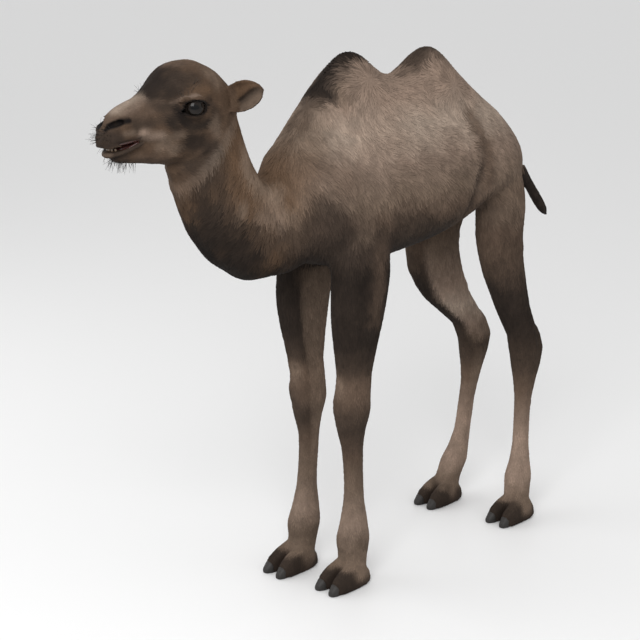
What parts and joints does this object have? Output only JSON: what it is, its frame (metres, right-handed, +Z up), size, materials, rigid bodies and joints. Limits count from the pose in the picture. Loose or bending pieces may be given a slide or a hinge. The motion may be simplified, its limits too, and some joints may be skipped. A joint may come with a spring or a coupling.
{
  "type": "bactrian camel calf",
  "caption": "Life-size still model of a young two-humped camel, standing square on four padded two-toed feet with its head raised.",
  "frame": {"origin": "on the floor under the middle of the animal's length, in its middle plane", "axes": "+Z up from the floor, +Y from the head to the tail, +X to the animal's left"},
  "size_m": [0.34, 1.5677, 1.387],
  "materials": {
    "coat": "matt short fur",
    "coat_head": "matt short fur",
    "coat_neck": "matt short fur",
    "coat_dark": "matt short fur",
    "shank": "matt short fur",
    "foot": "matt skin and short hair",
    "nail": "dull horn",
    "eye": "wet and glossy"
  },
  "bodies": {
    "root": {"ear_left": "coat_head", "ear_right": "coat_head", "eye_left": "eye", "eye_right": "eye", "foreleg_left_foot": "foot", "foreleg_left_nail_inner": "nail", "foreleg_left_nail_outer": "nail", "foreleg_left_shank": "shank", "foreleg_left_upper": "coat", "foreleg_right_foot": "foot", "foreleg_right_nail_inner": "nail", "foreleg_right_nail_outer": "nail", "foreleg_right_shank": "shank", "foreleg_right_upper": "coat", "head": "coat_head", "hindleg_left_foot": "foot", "hindleg_left_gaskin": "coat", "hindleg_left_nail_inner": "nail", "hindleg_left_nail_outer": "nail", "hindleg_left_shank": "shank", "hindleg_left_thigh": "coat", "hindleg_right_foot": "foot", "hindleg_right_gaskin": "coat", "hindleg_right_nail_inner": "nail", "hindleg_right_nail_outer": "nail", "hindleg_right_shank": "shank", "hindleg_right_thigh": "coat", "hump_front": "coat_dark", "hump_rear": "coat_dark", "lower_jaw": "coat_head", "neck_base": "coat_neck", "neck_middle": "coat_neck", "neck_upper": "coat_neck", "tail": "coat_dark", "trunk": "coat"}
  },
  "joints": []
}
